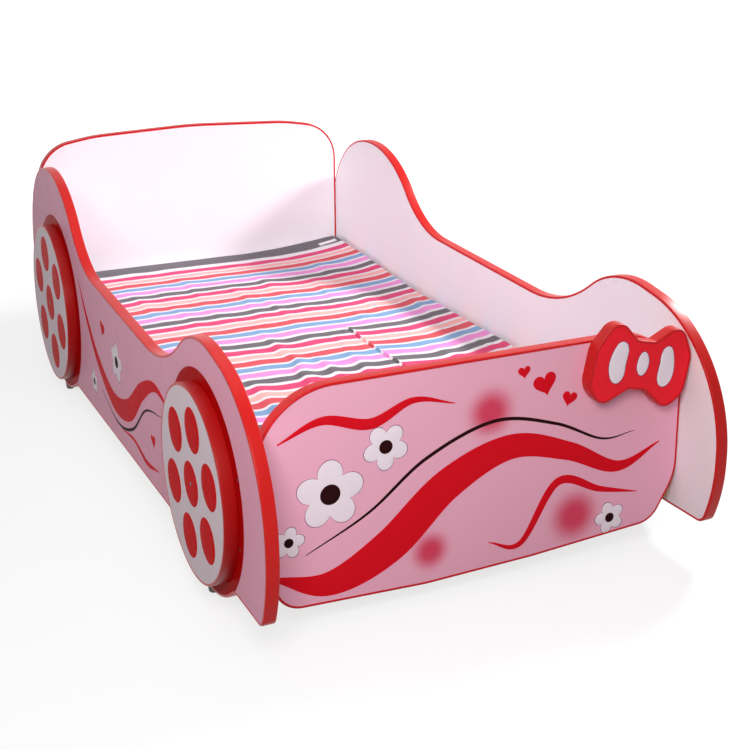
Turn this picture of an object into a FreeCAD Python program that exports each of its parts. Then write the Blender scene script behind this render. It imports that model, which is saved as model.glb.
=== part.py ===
import FreeCAD, Part
import Sketcher
import math
import os
import re

# A child's car bed. The origin is on the floor under the middle of the bed:
# X runs across it, Y from the front board to the headboard and Z up. Millimetres.

Vector = FreeCAD.Vector
doc = FreeCAD.newDocument("CarBed")
sheet = doc.addObject("Spreadsheet::Sheet", "Sizes")
pieces = {}

DIMENSIONS = [
    # the mattress, which the bed is built round
    ("mattressWidth", 1000, "standard single size for children"),
    ("mattressLength", 1900, "standard single size for children"),
    ("mattressHeight", 115, "from the slat straps to the top of the crown"),
    ("mattressCrown", 9, "rise of the top from its rim to its middle"),
    ("mattressTuck", 7, "how far the sides draw in at their seams"),
    ("mattressCorner", 55, "radius of the corners seen from above"),
    ("mattressSideGap", 6.5, "room beside the mattress, each side"),
    ("mattressEndGap", 7, "room before and behind the mattress"),
    ("mattressLift", 0.3, "clearance under the loose mattress"),
    # laminated boards and their soft edging
    ("boardThickness", 27, "side boards, front board and headboard"),
    ("edgingThickness", 5, "edging outside the board's rim"),
    ("edgingShoulder", 3.5, "bevel on the edging's outer corners"),
    # side board outline: distances from the front board's face or from the tail, heights from the floor
    ("toeReach", 103, "lower front corner ahead of the front board"),
    ("toeRadius", 30, "lower front corner"),
    ("sillFront", 92, "height of the lower edge at the toe"),
    ("sillRear", 60, "height of the lower edge at the tail"),
    ("noseReach", 138, "foremost line ahead of the front board"),
    ("noseHeight", 180, "where the nose starts to tuck under"),
    ("noseRadius", 370, "curve from the nose to the toe"),
    ("fenderHeight", 523, "front upper corner of the hump, before rounding"),
    ("fenderRadius", 308, "round front of the hump"),
    ("humpBack", 277, "rear corner of the hump behind the front board's face"),
    ("humpHeight", 595, "rear corner of the hump"),
    ("humpRadius", 273, "rounding of the hump's rear"),
    ("dipFront", 496, "front corner of the dip behind the front board's face"),
    ("dipFrontHeight", 432, "front corner of the dip"),
    ("dipFrontRadius", 436, "rounding into the dip"),
    ("dipRear", 671, "rear corner of the dip ahead of the tail"),
    ("dipRearHeight", 460, "rear corner of the dip"),
    ("dipRearRadius", 322, "rounding out of the dip"),
    ("crestFront", 435, "front corner of the tail's crest ahead of the tail"),
    ("crestHeight", 709, "front corner of the tail's crest"),
    ("crestRadius", 370, "rounding of the crest's front"),
    ("tailHeight", 612, "upper rear corner, before rounding"),
    ("tailRadius", 292, "round upper rear corner"),
    ("heelRadius", 60, "lower rear corner"),
    # wheels, and the lobes of the side boards behind them
    ("frontWheelRadius", 214, "disc with its edging"),
    ("rearWheelRadius", 231, "disc with its edging"),
    ("wheelThickness", 30, "disc on the side board's outer face"),
    ("archMargin", 29, "how far the lobe's arc runs outside the disc"),
    ("rearWheelSetback", 358, "rear wheel's middle ahead of the tail"),
    ("lobeBlend", 46, "hollow radius where a lobe leaves the lower edge"),
    ("lobeSweep", 0.94, "share of the lobe's arc up to where it would touch the hollow"),
    # front board
    ("frontTop", 528, "height of the straight top edge"),
    ("frontTopRadius", 172, "upper corners"),
    ("frontSideFoot", 173, "where the sides turn in"),
    ("frontSideRadius", 134, "curve below the straight sides"),
    ("frontChinInset", 61, "lower corners in from the sides"),
    ("frontChin", 61, "height of the lower corners"),
    ("frontChinRadius", 64, "lower corners"),
    ("frontBellyInset", 377, "ends of the flat belly in from the sides"),
    ("frontBelly", 45, "height of the belly"),
    ("frontBellyRadius", 479, "gentle curve to the belly"),
    ("frontSkew", 6, "the lower edge is this much lower at the left and higher at the right"),
    # headboard
    ("headTop", 724, "height of the crown, before rounding"),
    ("headCrownRadius", 1500, "curve of the crown"),
    ("headShoulderInset", 182, "shoulders in from the sides"),
    ("headShoulder", 711, "height of the shoulders"),
    ("headShoulderRadius", 615, "curve of the shoulders"),
    ("headSide", 680, "top of the straight sides, before rounding"),
    ("headSideRadius", 125, "upper corners"),
    ("headBottom", 95, "height of the lower edge"),
    ("headBottomRadius", 40, "lower corners"),
    # bow on the front board
    ("bowThickness", 30, "bow with its edging"),
    ("bowInset", 133.5, "middle of the bow in from the right side board"),
    ("bowHeight", 455, "middle of the bow above the floor"),
    ("bowTilt", 12, "turn of the bow, degrees, its right side down"),
    ("bowHalfWidth", 128, "tip from the middle"),
    ("bowTipTop", 38, "upper tip corner above the middle line"),
    ("bowTipBottom", 51, "lower tip corner below the middle line"),
    ("bowTipRadius", 52, "tips"),
    ("bowLobe", 85, "top of each half from the middle"),
    ("bowLobeTop", 110, "upper corner of each half"),
    ("bowLobeBottom", 91, "lower corner of each half"),
    ("bowLobeRadius", 32, "upper and lower corners"),
    ("bowKnot", 23, "knot from the middle"),
    ("bowKnotTop", 63, "upper edge at the knot"),
    ("bowKnotBottom", 48, "lower edge at the knot"),
    ("bowKnotRadius", 14, "hollow corners beside the knot"),
    # slatted base
    ("railWidth", 28, "rails and cleats, across"),
    ("railHeight", 40, "rails and cleats, upright"),
    ("railTop", 145, "height of their upper faces"),
    ("slatWidth", 80, "along the bed"),
    ("slatThickness", 18, "upright"),
    ("slatEndGap", 3, "room at a slat's ends"),
    ("slatMargin", 2, "room before the first slat and behind the last"),
    ("slatRound", 3, "rounding of a slat's upper long edges"),
    ("strapWidth", 25, "webbing on the slats"),
    ("strapThickness", 1.2, "webbing"),
    ("strapInset", 160, "middle of a strap in from a slat's end"),
    # feet
    ("footRadius", 13, "glide under a lobe"),
    ("footHeight", 22, "glide"),
    ("footTaper", 3, "how much the glide narrows at the floor"),
    ("footTaperHeight", 8, "where the glide starts to narrow"),
    ("footSides", 20, "flats round a glide"),
    ("footSetback", 12, "glide behind the wheel's middle"),
    # connector screws at the corners
    ("connectorRadius", 3.5, "shank"),
    ("connectorBite", 38, "shank in the cross board's end"),
    ("connectorHeadRadius", 5, "flush head"),
    ("connectorHeadDepth", 4, "flush head"),
    ("connectorSides", 8, "flats that stand in for the round of screws and their holes"),
    ("frontConnectorAbove", 90, "upper front screw above the wheel's middle"),
    ("frontConnectorBelow", 58, "lower front screw below the wheel's middle"),
    ("rearConnectorRise", 22.059, "upper rear screw above the straight part of the tail"),
    ("rearConnectorBottom", 165, "height of the lower rear screw"),
    ("holeGap", 0.3, "hole wider than its screw, in radius"),
    ("holeSpare", 2, "blind hole deeper than its screw"),
    ("slats", 13, "slats in the base"),
]


def fill_sheet():
    for row, (alias, number, note) in enumerate(DIMENSIONS, start=1):
        sheet.set(f"A{row}", alias)
        sheet.set(f"B{row}", str(number))
        sheet.set(f"C{row}", note)
        sheet.setAlias(f"B{row}", alias)
    doc.recompute()


fill_sheet()


def sized(words):
    """An expression in which each <alias> stands for that cell of the sheet."""
    named = re.sub(r"<(\w+)>", r"Sizes.\1", words)
    return f"({named})"


def value(expression):
    return float(sheet.evalExpression(expression))


def size(alias):
    return float(sheet.get(alias))


# Places that several pieces share, as expressions on the sheet.
INNER_WIDTH = sized("<mattressWidth> + 2 * <mattressSideGap>")
INNER_LENGTH = sized("<mattressLength> + 2 * <mattressEndGap>")
HALF_INSIDE = f"({INNER_WIDTH} / 2)"
FRONT_FACE = sized("(<noseReach> - 2 * <boardThickness> - <mattressLength> - 2 * <mattressEndGap>) / 2")
FRONT_BACK = f"({FRONT_FACE} + Sizes.boardThickness)"
HEAD_FACE = f"({FRONT_BACK} + {INNER_LENGTH})"
TAIL = f"({HEAD_FACE} + Sizes.boardThickness)"
HALF_OUTSIDE = f"({HALF_INSIDE} + Sizes.boardThickness)"
HALF_BOARD = "(Sizes.boardThickness / 2)"
MID_BOARD = f"({HALF_INSIDE} + {HALF_BOARD})"
FRONT_WHEEL_Y = f"({FRONT_FACE} + {HALF_BOARD} + Sizes.frontWheelRadius)"
REAR_WHEEL_Y = f"({TAIL} - Sizes.rearWheelSetback)"
FRONT_WHEEL_Z = sized("<footHeight> + <frontWheelRadius> + <archMargin>")
REAR_WHEEL_Z = sized("<footHeight> + <rearWheelRadius> + <archMargin>")
SLAT_TOP = sized("<railTop> + <slatThickness>")
STRAP_TOP = f"({SLAT_TOP} + Sizes.strapThickness)"
CONNECTOR_HOLE = sized("<connectorRadius> + <holeGap>")
# The tail's rounding starts tailRadius * (sqrt(1 + slope^2) - slope) below its corner, where the crest falls to it.
CREST_SLOPE = sized("(<crestHeight> - <tailHeight>) / <crestFront>")
TAIL_STRAIGHT = sized(f"<tailHeight> - <tailRadius> * (sqrt(1 + {CREST_SLOPE} * {CREST_SLOPE}) - {CREST_SLOPE})")


# ---- outlines: polygons whose corners are rounded by tangent arcs ----


def direction(start, end):
    run = end - start
    return run / run.Length


def corner_arc(before, corner, after, radius):
    """Start, centre and end of the arc that rounds a corner."""
    back = direction(corner, before)
    ahead = direction(corner, after)
    half = back.getAngle(ahead) / 2
    reach = radius / math.tan(half)
    middle = direction(Vector(), back + ahead)
    return corner + back * reach, corner + middle * (radius / math.sin(half)), corner + ahead * reach


def turns_left(before, corner, after):
    return (corner - before).cross(after - corner).z > 0


def outline(corners):
    """Arcs and lines round an anticlockwise list of corners (u, v, radius)."""
    points = [Vector(u, v, 0) for u, v, _ in corners]
    count = len(points)
    edges = []
    joints = []
    for i, (_, _, radius) in enumerate(corners):
        before, corner, after = points[i - 1], points[i], points[(i + 1) % count]
        start, centre, end = corner_arc(before, corner, after, radius)
        circle = Part.Circle(centre, Vector(0, 0, 1), radius)
        first = math.atan2(start.y - centre.y, start.x - centre.x)
        last = math.atan2(end.y - centre.y, end.x - centre.x)
        if not turns_left(before, corner, after):
            first, last = last, first
        if last < first:
            last += 2 * math.pi
        edges.append(Part.ArcOfCircle(circle, first, last))
        joints.append((start, end))
    for i in range(count):
        leave, meet = joints[i][1], joints[(i + 1) % count][0]
        edges.append(Part.LineSegment(leave, meet))
    return edges


def inset(corners, distance):
    """The corners of the parallel outline that runs inside by a distance."""
    points = [Vector(u, v, 0) for u, v, _ in corners]
    count = len(points)
    moved = []
    for i, (_, _, radius) in enumerate(corners):
        before, corner, after = points[i - 1], points[i], points[(i + 1) % count]
        ahead = direction(corner, after)
        back = direction(corner, before)
        left = turns_left(before, corner, after)
        middle = direction(Vector(), back + ahead) * (1 if left else -1)
        half = back.getAngle(ahead) / 2
        shift = corner + middle * (distance / math.sin(half))
        moved.append((shift.x, shift.y, radius - distance if left else radius + distance))
    return moved


def eased(corners):
    """The corners with smaller radii wherever the arcs of two neighbours would overlap."""
    points = [Vector(u, v, 0) for u, v, _ in corners]
    count = len(points)
    reaches = []
    for i, (_, _, radius) in enumerate(corners):
        before, corner, after = points[i - 1], points[i], points[(i + 1) % count]
        half = direction(corner, before).getAngle(direction(corner, after)) / 2
        reaches.append(radius / math.tan(half))
    shares = [1.0] * count
    for i in range(count):
        j = (i + 1) % count
        room = 0.995 * (points[j] - points[i]).Length / (reaches[i] + reaches[j])
        shares[i] = min(shares[i], room)
        shares[j] = min(shares[j], room)
    return [(u, v, radius * share) for (u, v, radius), share in zip(corners, shares)]


def lobe(middle, centre_height, radius, sill):
    """Corners of a lobe that bulges below the sloping lower edge."""
    blend = size("lobeBlend")
    edge_height = sill["height"] + sill["slope"] * (middle - sill["at"])
    touch = math.acos((centre_height - edge_height + blend) / (radius + blend))
    lean = touch * size("lobeSweep")
    apex = centre_height - radius / math.cos(lean)
    corners = []
    for side in (-1, 1):
        steep = side * math.tan(lean)
        u = middle + (edge_height - apex) / (steep - sill["slope"])
        corners.append((u, apex + steep * (u - middle), blend))
    return [corners[0], (middle, apex, radius), corners[1]]


def side_corners():
    front, tail = value(FRONT_FACE), value(TAIL)
    toe = front - size("toeReach")
    slope = (size("sillRear") - size("sillFront")) / (tail - toe)
    sill = {"at": toe, "height": size("sillFront"), "slope": slope}
    margin = size("archMargin")
    front_lobe = lobe(value(FRONT_WHEEL_Y), value(FRONT_WHEEL_Z), size("frontWheelRadius") + margin, sill)
    rear_lobe = lobe(value(REAR_WHEEL_Y), value(REAR_WHEEL_Z), size("rearWheelRadius") + margin, sill)
    return eased(
        [(toe, size("sillFront"), size("toeRadius"))]
        + front_lobe
        + rear_lobe
        + [
            (tail, size("sillRear"), size("heelRadius")),
            (tail, size("tailHeight"), size("tailRadius")),
            (tail - size("crestFront"), size("crestHeight"), size("crestRadius")),
            (tail - size("dipRear"), size("dipRearHeight"), size("dipRearRadius")),
            (front + size("dipFront"), size("dipFrontHeight"), size("dipFrontRadius")),
            (front + size("humpBack"), size("humpHeight"), size("humpRadius")),
            (front - size("noseReach"), size("fenderHeight"), size("fenderRadius")),
            (front - size("noseReach"), size("noseHeight"), size("noseRadius")),
        ]
    )


def front_corners():
    side = value(HALF_INSIDE)
    skew = size("frontSkew")
    chin, belly = side - size("frontChinInset"), side - size("frontBellyInset")
    return eased([
        (-belly, size("frontBelly") - skew / 2, size("frontBellyRadius")),
        (belly, size("frontBelly") + skew / 2, size("frontBellyRadius")),
        (chin, size("frontChin") + skew, size("frontChinRadius")),
        (side, size("frontSideFoot"), size("frontSideRadius")),
        (side, size("frontTop"), size("frontTopRadius")),
        (-side, size("frontTop"), size("frontTopRadius")),
        (-side, size("frontSideFoot"), size("frontSideRadius")),
        (-chin, size("frontChin") - skew, size("frontChinRadius")),
    ])


def head_corners():
    side = value(HALF_INSIDE)
    shoulder = side - size("headShoulderInset")
    right = [
        (side, size("headBottom"), size("headBottomRadius")),
        (side, size("headSide"), size("headSideRadius")),
        (shoulder, size("headShoulder"), size("headShoulderRadius")),
    ]
    left = [(-u, v, radius) for u, v, radius in reversed(right)]
    return eased(right + [(0, size("headTop"), size("headCrownRadius"))] + left)


def bow_corners():
    """Both halves mirror each other before the bow is turned by its tilt."""
    right = [
        (size("bowKnot"), -size("bowKnotBottom"), size("bowKnotRadius")),
        (size("bowLobe"), -size("bowLobeBottom"), size("bowLobeRadius")),
        (size("bowHalfWidth"), -size("bowTipBottom"), size("bowTipRadius")),
        (size("bowHalfWidth"), size("bowTipTop"), size("bowTipRadius")),
        (size("bowLobe"), size("bowLobeTop"), size("bowLobeRadius")),
        (size("bowKnot"), size("bowKnotTop"), size("bowKnotRadius")),
    ]
    left = [(-u, v, radius) for u, v, radius in reversed(right)]
    tilt = math.radians(-size("bowTilt"))
    turned = []
    for u, v, radius in right + left:
        x = value(HALF_INSIDE) - size("bowInset") + u * math.cos(tilt) - v * math.sin(tilt)
        z = size("bowHeight") + u * math.sin(tilt) + v * math.cos(tilt)
        turned.append((x, z, radius))
    return eased(turned)


# ---- features ----

# the turn that lays a piece built up along Z in another direction
towards = {
    "X": FreeCAD.Rotation(Vector(0, 1, 0), 90),
    "-X": FreeCAD.Rotation(Vector(0, 1, 0), -90),
    "Y": FreeCAD.Rotation(Vector(1, 0, 0), -90),
    "-Y": FreeCAD.Rotation(Vector(1, 0, 0), 90),
    "Z": FreeCAD.Rotation(),
}


def plane(body, role):
    return next(item for item in body.Origin.OriginFeatures if item.Role == role)


def sketch(body, role, name, edges, offset=None):
    drawn = body.newObject("Sketcher::SketchObject", name)
    drawn.AttachmentSupport = [(plane(body, role), "")]
    drawn.MapMode = "FlatFace"
    if offset:
        drawn.setExpression("AttachmentOffset.Base.z", offset)
    drawn.addGeometry(edges, False)
    return drawn


def pad(body, drawn, length):
    feature = body.newObject("PartDesign::Pad", drawn.Name + "Pad")
    feature.Profile = drawn
    feature.setExpression("Length", length)
    drawn.Visibility = False
    return feature


def pocket(body, drawn):
    """Cuts the sketch right through, both ways from its plane."""
    feature = body.newObject("PartDesign::Pocket", drawn.Name + "Pocket")
    feature.Profile = drawn
    feature.Type = "ThroughAll"
    feature.Midplane = True
    return feature


def move(item, x=None, y=None, z=None):
    for axis, place in (("x", x), ("y", y), ("z", z)):
        if place:
            item.setExpression(f"Placement.Base.{axis}", place)


def keep(item, label):
    item.Label = label
    pieces[label] = item
    return item


def rod(name, radius, height, axis, x=None, y=None, z=None):
    """A many-sided rod that starts at a place and runs along X, -X, Y, -Y or Z."""
    prism = doc.addObject("Part::Prism", name)
    prism.Polygon = int(size("connectorSides"))
    prism.setExpression("Circumradius", radius)
    prism.setExpression("Height", height)
    prism.Placement.Rotation = towards[axis]
    move(prism, x, y, z)
    return prism


def box(name, length, width, height, x, y, z):
    block = doc.addObject("Part::Box", name)
    block.setExpression("Length", length)
    block.setExpression("Width", width)
    block.setExpression("Height", height)
    move(block, x, y, z)
    return block


def drilled(item, label, *rounds):
    """The item less rounds of holes; the holes of one round don't touch each other."""
    for number, drills in enumerate(rounds, start=1):
        holes = doc.addObject("Part::Compound", f"{label}_holes{number}")
        holes.Links = drills
        cut = doc.addObject("Part::Cut", f"{label}_cut{number}")
        cut.Base = item
        cut.Tool = holes
        item = cut
    return keep(item, label)


# ---- boards ----


def board_body(name, role, corners, thickness):
    body = doc.addObject("PartDesign::Body", name)
    inner = inset(corners, size("edgingThickness"))
    pad(body, sketch(body, role, name + "Outline", outline(inner)), thickness)
    return body


def edging_body(name, role, corners, thickness, shoulders):
    """A band round the board's rim, with bevels on the rims of the faces named by their places."""
    body = doc.addObject("PartDesign::Body", name)
    solid = pad(body, sketch(body, role, name + "Rim", outline(corners)), thickness)
    doc.recompute()
    flat = {"YZ_Plane": "x", "XZ_Plane": "y"}[role]
    rims = []
    for place in shoulders:
        for number, edge in enumerate(solid.Shape.Edges, start=1):
            near = [abs(getattr(end.Point, flat) - place) < 1e-3 for end in edge.Vertexes]
            if all(near):
                rims.append(f"Edge{number}")
    bevel = body.newObject("PartDesign::Chamfer", name + "Shoulders")
    bevel.Base = (solid, rims)
    bevel.setExpression("Size", "Sizes.edgingShoulder")
    inner = inset(corners, size("edgingThickness"))
    pocket(body, sketch(body, role, name + "Inside", outline(inner)))
    return body


def connector_places():
    """Which end, Y of the cross board's middle and height of each connector screw."""
    front_middle = f"({FRONT_FACE} + {HALF_BOARD})"
    head_middle = f"({HEAD_FACE} + {HALF_BOARD})"
    return [
        ("front", front_middle, f"({FRONT_WHEEL_Z} + Sizes.frontConnectorAbove)"),
        ("front", front_middle, f"({FRONT_WHEEL_Z} - Sizes.frontConnectorBelow)"),
        ("rear", head_middle, f"({TAIL_STRAIGHT} + Sizes.rearConnectorRise)"),
        ("rear", head_middle, "Sizes.rearConnectorBottom"),
    ]


def wheels():
    return [("front", FRONT_WHEEL_Y, FRONT_WHEEL_Z, "Sizes.frontWheelRadius"),
            ("rear", REAR_WHEEL_Y, REAR_WHEEL_Z, "Sizes.rearWheelRadius")]


SIDES = {"left": -1, "right": 1}


def outward(side):
    return "X" if side == "right" else "-X"


def inward(side):
    return "-X" if side == "right" else "X"


def at(side, place):
    """A distance from the middle, on the left or the right."""
    return f"({SIDES[side]} * {place})"


def side_board(side):
    """Each connector screw has a bore, and a seat for its flush head in the outer face."""
    label = f"{side}_side_board"
    body = board_body(f"{side.title()}Side", "YZ_Plane", side_corners(), "Sizes.boardThickness")
    move(body, x=HALF_INSIDE if side == "right" else f"(-{HALF_OUTSIDE})")
    bores = []
    seats = []
    for i, (_, y, z) in enumerate(connector_places()):
        bores.append(rod(f"{side}Bore{i}", CONNECTOR_HOLE, sized("<boardThickness> + 2 * <holeSpare>"),
                         outward(side), at(side, f"({HALF_INSIDE} - Sizes.holeSpare)"), y, z))
        seats.append(rod(f"{side}Seat{i}", "Sizes.connectorHeadRadius + Sizes.holeGap",
                         sized("<connectorHeadDepth> + <holeSpare>"), inward(side),
                         at(side, f"({HALF_OUTSIDE} + Sizes.holeSpare)"), y, z))
    drilled(body, label, bores, seats)


def side_edging(side):
    band = edging_body(f"{side.title()}Band", "YZ_Plane", side_corners(), "Sizes.boardThickness",
                       (0, size("boardThickness")))
    move(band, x=HALF_INSIDE if side == "right" else f"(-{HALF_OUTSIDE})")
    keep(band, f"{side}_side_edging")


def end_bores(name, end):
    """Bores for the connector screws, into both ends of a cross board and through its edging."""
    depth = sized("<connectorBite> + 2 * <holeSpare>")
    start = f"({HALF_INSIDE} + Sizes.holeSpare)"
    places = [(y, z) for which, y, z in connector_places() if which == end]
    return [rod(f"{name}{side}Bore{i}", CONNECTOR_HOLE, depth, inward(side), at(side, start), y, z)
            for side in SIDES for i, (y, z) in enumerate(places)]


def cross_board(end, label, corners, back):
    """The front board or the headboard, with its edging, up to the Y of its back face."""
    board = board_body(label.title(), "XZ_Plane", corners, "Sizes.boardThickness")
    move(board, y=back)
    drilled(board, label, end_bores(label, end))
    band = edging_body(label.title() + "Band", "XZ_Plane", corners, "Sizes.boardThickness",
                       (0, -size("boardThickness")))
    move(band, y=back)
    drilled(band, label.split("_")[0] + "_edging", end_bores(label + "Band", end))


def bow():
    """The bow lies on the front board's face; the edging's back corner stays square."""
    board = board_body("Bow", "XZ_Plane", bow_corners(), "Sizes.bowThickness")
    move(board, y=FRONT_FACE)
    keep(board, "bow_board")
    band = edging_body("BowBand", "XZ_Plane", bow_corners(), "Sizes.bowThickness", (-size("bowThickness"),))
    move(band, y=FRONT_FACE)
    keep(band, "bow_edging")


def circle(radius):
    return [Part.Circle(Vector(), Vector(0, 0, 1), radius)]


def ring_sketch(body, name, radius_expression):
    """A circle about the body's X axis whose radius follows the sheet."""
    drawn = sketch(body, "YZ_Plane", name, circle(value(radius_expression)))
    fixed = FreeCAD.Units.Quantity(f"{value(radius_expression)} mm")
    drawn.addConstraint(Sketcher.Constraint("Coincident", 0, 3, -1, 1))
    number = drawn.addConstraint(Sketcher.Constraint("Radius", 0, fixed))
    drawn.setExpression(f"Constraints[{number}]", radius_expression)
    return drawn


def wheel(side, end, y, z, radius):
    """A laminated disc and the edging round it, flat on the side board's outer face."""
    label = f"{end}_{side}_wheel"
    name = f"{end.title()}{side.title()}Wheel"
    start = HALF_OUTSIDE if side == "right" else f"(-{HALF_OUTSIDE} - Sizes.wheelThickness)"
    inner_radius = f"({radius} - Sizes.edgingThickness)"
    disc = doc.addObject("PartDesign::Body", name)
    pad(disc, ring_sketch(disc, name + "Disc", inner_radius), "Sizes.wheelThickness")
    move(disc, start, y, z)
    keep(disc, label)
    band = doc.addObject("PartDesign::Body", name + "Band")
    pad(band, ring_sketch(band, name + "BandRim", radius), "Sizes.wheelThickness")
    doc.recompute()
    pocket(band, ring_sketch(band, name + "BandInside", inner_radius))
    move(band, start, y, z)
    keep(band, label + "_edging")


# ---- connector screws: one is made, its copies share a node ----


def connector_screw():
    """Head face at height 0, shank above it along Z."""
    shank = rod("Shank", "Sizes.connectorRadius", sized("<boardThickness> + <connectorBite>"), "Z")
    head = rod("Head", "Sizes.connectorHeadRadius", "Sizes.connectorHeadDepth", "Z")
    screw = doc.addObject("Part::Fuse", "ConnectorScrew")
    screw.Base = shank
    screw.Tool = head
    return screw


def connector_screws():
    screw = connector_screw()
    for end in ("front", "rear"):
        copies = []
        for side in SIDES:
            for i, (_, y, z) in enumerate(place for place in connector_places() if place[0] == end):
                copy = doc.addObject("App::Link", f"{end}{side}Connector{i}")
                copy.LinkedObject = screw
                copy.LinkTransform = False
                copy.Placement.Rotation = towards[inward(side)]
                move(copy, at(side, HALF_OUTSIDE), y, z)
                copies.append(copy)
        together = doc.addObject("Part::Compound", f"{end}Connectors")
        together.Links = copies
        keep(together, f"{end}_connector_screws")


# ---- base, feet and mattress ----


def rails_and_cleats():
    """A square-edged frame just inside the boards, whose upper faces carry the slats."""
    bottom = sized("<railTop> - <railHeight>")
    for side in SIDES:
        start = f"(-{HALF_INSIDE})" if side == "left" else f"({HALF_INSIDE} - Sizes.railWidth)"
        rail = box(f"{side}Rail", "Sizes.railWidth", INNER_LENGTH, "Sizes.railHeight", start, FRONT_BACK, bottom)
        keep(rail, f"{side}_rail")
    for end, start in (("front", FRONT_BACK), ("rear", f"({HEAD_FACE} - Sizes.railWidth)")):
        cleat = box(f"{end}Cleat", f"({INNER_WIDTH} - 2 * Sizes.railWidth)", "Sizes.railWidth", "Sizes.railHeight",
                    f"(Sizes.railWidth - {HALF_INSIDE})", start, bottom)
        keep(cleat, f"{end}_cleat")


def slats():
    """Evenly spaced boards across the rails, their upper long edges rounded."""
    length = f"({INNER_WIDTH} - 2 * Sizes.slatEndGap)"
    first = f"({FRONT_BACK} + Sizes.slatMargin)"
    pitch = f"(({INNER_LENGTH} - 2 * Sizes.slatMargin - Sizes.slatWidth) / (Sizes.slats - 1))"
    for i in range(int(size("slats"))):
        plank = box(f"Plank{i + 1}", length, "Sizes.slatWidth", "Sizes.slatThickness",
                    f"(-{length} / 2)", f"({first} + {i} * {pitch})", "Sizes.railTop")
        doc.recompute()
        top = value(SLAT_TOP)
        rims = [n for n, edge in enumerate(plank.Shape.Edges, start=1)
                if edge.BoundBox.ZMin > top - 1e-3 and edge.BoundBox.XLength > edge.BoundBox.YLength]
        rounded = doc.addObject("Part::Chamfer", f"Slat{i + 1}")
        rounded.Base = plank
        rounded.Edges = [(n, size("slatRound"), size("slatRound")) for n in rims]
        keep(rounded, f"slat_{i + 1:02d}")


def straps():
    length = f"({INNER_LENGTH} - 2 * Sizes.slatMargin - 2 * Sizes.slatWidth / 4)"
    middle = f"({HALF_INSIDE} - Sizes.slatEndGap - Sizes.strapInset)"
    for side in SIDES:
        band = box(f"{side}Strap", "Sizes.strapWidth", length, "Sizes.strapThickness",
                   f"({at(side, middle)} - Sizes.strapWidth / 2)",
                   f"({FRONT_BACK} + Sizes.slatMargin + Sizes.slatWidth / 4)", SLAT_TOP)
        keep(band, f"{side}_slat_strap")


def feet():
    """A plastic glide under each lobe, bevelled where it meets the floor."""
    for side in SIDES:
        for end, y, _, _ in wheels():
            name = f"{end.title()}{side.title()}Foot"
            glide = doc.addObject("Part::Prism", name + "Glide")
            glide.Polygon = int(size("footSides"))
            glide.setExpression("Circumradius", "Sizes.footRadius")
            glide.setExpression("Height", "Sizes.footHeight")
            doc.recompute()
            soles = [n for n, edge in enumerate(glide.Shape.Edges, start=1) if edge.BoundBox.ZMax < 1e-3]
            foot = doc.addObject("Part::Chamfer", name)
            foot.Base = glide
            foot.Edges = [(n, size("footTaperHeight"), size("footTaper")) for n in soles]
            doc.recompute()
            move(foot, at(side, MID_BOARD), f"({y} + Sizes.footSetback)")
            keep(foot, f"{end}_{side}_foot")


def rounded_rectangle(half_width, half_length, radius):
    return outline([(half_width, -half_length, radius), (half_width, half_length, radius),
                    (-half_width, half_length, radius), (-half_width, -half_length, radius)])


def pillow_section(half):
    """Upright section of the mattress: sides that swell between their seams, under a crowned top."""
    foot, rim, top = half - size("mattressTuck"), size("mattressHeight") - size("mattressCrown"), size("mattressHeight")
    return [
        Part.LineSegment(Vector(-foot, 0, 0), Vector(foot, 0, 0)),
        Part.Arc(Vector(foot, 0, 0), Vector(half, rim / 2, 0), Vector(foot, rim, 0)),
        Part.Arc(Vector(foot, rim, 0), Vector(0, top, 0), Vector(-foot, rim, 0)),
        Part.Arc(Vector(-foot, rim, 0), Vector(-half, rim / 2, 0), Vector(-foot, 0, 0)),
    ]


def through(name, role, edges, length):
    """A body whose section runs the same distance both ways from its plane."""
    body = doc.addObject("PartDesign::Body", name)
    feature = pad(body, sketch(body, role, name + "Section", edges), length)
    feature.Midplane = True
    return body


def mattress():
    """What the lengthways section, the crosswise section and the rounded plan have in common."""
    half_width, half_length = size("mattressWidth") / 2, size("mattressLength") / 2
    cover = doc.addObject("Part::MultiCommon", "Mattress")
    cover.Shapes = [
        through("Across", "XZ_Plane", pillow_section(half_width), "Sizes.mattressLength"),
        through("Along", "YZ_Plane", pillow_section(half_length), "Sizes.mattressWidth"),
        through("Plan", "XY_Plane", rounded_rectangle(half_width, half_length, size("mattressCorner")),
                "2 * Sizes.mattressHeight"),
    ]
    move(cover, None, f"({FRONT_BACK} + {INNER_LENGTH} / 2)", f"({STRAP_TOP} + Sizes.mattressLift)")
    keep(cover, "mattress")


# ---- build ----


def build():
    for side in SIDES:
        side_board(side)
        side_edging(side)
    cross_board("front", "front_board", front_corners(), FRONT_BACK)
    cross_board("rear", "headboard", head_corners(), TAIL)
    bow()
    for side in SIDES:
        for end, y, z, radius in wheels():
            wheel(side, end, y, z, radius)
    connector_screws()
    rails_and_cleats()
    slats()
    straps()
    feet()
    mattress()
    doc.recompute()


def check():
    for item in doc.Objects:
        failed = [state for state in item.State if state in ("Invalid", "Error")]
        if failed:
            raise RuntimeError(f"{item.Name} ({item.Label}) is {failed}")
    for label, item in pieces.items():
        shape = item.Shape
        if shape.isNull() or not shape.isValid() or not shape.Solids:
            raise RuntimeError(f"{label} has no valid solid")


def write():
    os.makedirs("parts", exist_ok=True)
    for label, item in sorted(pieces.items()):
        shape = item.Shape
        shape.exportStep(f"parts/{label}.step")
        print(f"{label}: {len(shape.Solids)} solid(s), {shape.Volume / 1000:.1f} cm3")


build()
check()
write()
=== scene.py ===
import math

import bpy
import numpy as np
from mathutils import Matrix, Vector


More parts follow.
